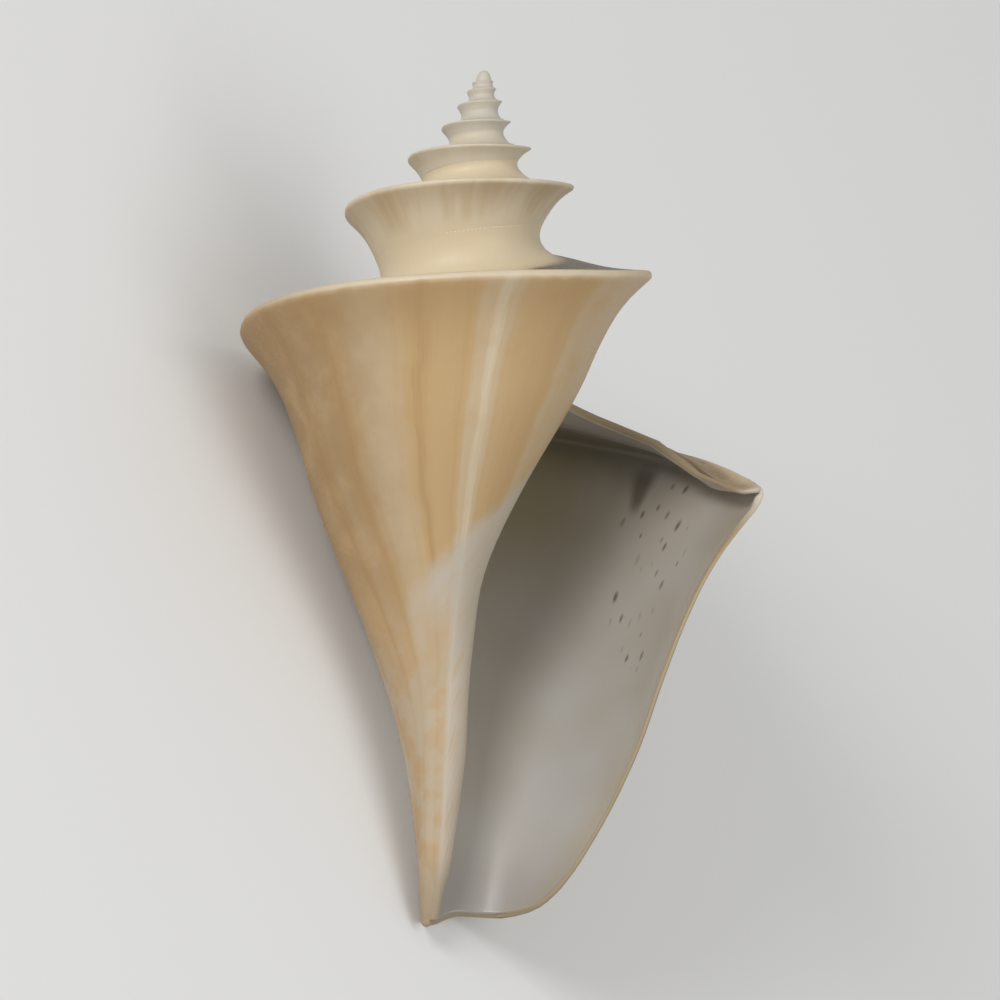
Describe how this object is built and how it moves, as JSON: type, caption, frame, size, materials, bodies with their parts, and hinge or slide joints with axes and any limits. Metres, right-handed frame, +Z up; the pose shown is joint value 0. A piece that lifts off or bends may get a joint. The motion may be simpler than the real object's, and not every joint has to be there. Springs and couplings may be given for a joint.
{
  "type": "turrid shell",
  "caption": "Thin-walled spiral sea shell with a stepped, keeled spire, a wide open mouth and a long tapering canal, lying on its back.",
  "frame": {"origin": "centre of the foot of the bounding box, on the surface the shell lies on", "axes": "+Y along the shell's long axis seen from above, towards the apex; +Z up; the lip is on the +X side"},
  "size_m": [0.0524, 0.0842, 0.0452],
  "materials": {
    "shell": "satin outside, glossy porcelain inside"
  },
  "bodies": {
    "root": {"shell": "shell"}
  },
  "joints": []
}
